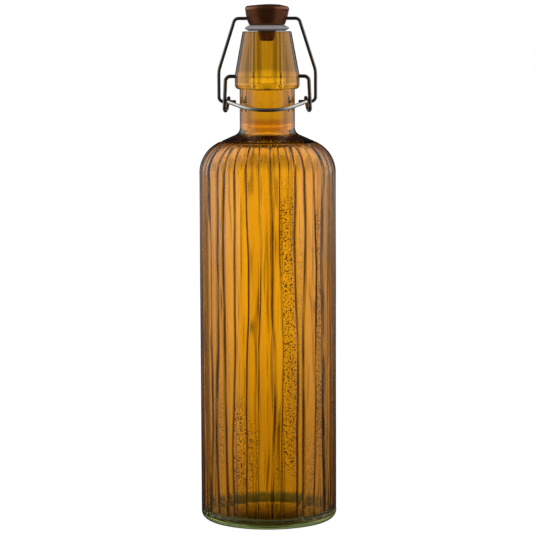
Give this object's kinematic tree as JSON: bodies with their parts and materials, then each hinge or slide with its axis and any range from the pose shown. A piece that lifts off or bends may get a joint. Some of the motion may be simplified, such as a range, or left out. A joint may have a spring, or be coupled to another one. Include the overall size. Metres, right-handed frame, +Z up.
{
  "type": "swing top bottle",
  "caption": "Tall fluted glass bottle with a round shoulder and conical collar, closed by a stopper and gasket on a wire bail and lever.",
  "frame": {"origin": "centre of the base, on the surface that the bottle stands on", "axes": "+Z up along the bottle's axis; the lever's bow crosses the front of the neck towards -Y; the wires' pivots run along X"},
  "size_m": [0.086, 0.086, 0.3251],
  "materials": {
    "glass": "amber glass, glossy, slightly wavy, bare green at the foot",
    "stopper": "glossy brown",
    "gasket": "pale grey, satin",
    "bail_wire": "drawn wire, slightly dulled",
    "lever_wire": "drawn wire, bright on the bow"
  },
  "bodies": {
    "bottle": {"bottle": "glass"},
    "lever": {"lever_wire": "lever_wire"},
    "bail": {"bail_wire": "bail_wire"},
    "stopper": {"stopper": "stopper", "gasket": "gasket"}
  },
  "joints": [
    {"name": "lever_pivot", "type": "hinge", "parent": "bottle", "child": "lever", "pos_m": [0, 0, 0.28033], "axis": [-1, 0, 0], "range_deg": [0, 98]},
    {"name": "bail_pivot", "type": "hinge", "parent": "lever", "child": "bail", "pos_m": [0, 0.00235, 0.26443], "axis": [-1, 0, 0], "range_deg": [-72, 0]},
    {"name": "stopper_pivot", "type": "hinge", "parent": "bail", "child": "stopper", "pos_m": [0, 0, 0.31633], "axis": [-1, 0, 0], "range_deg": [-27, 0]}
  ],
  "couplings": [
    {"joint": "bail_pivot", "follows": "lever_pivot", "ratio": -0.73},
    {"joint": "stopper_pivot", "follows": "lever_pivot", "ratio": -0.27}
  ]
}
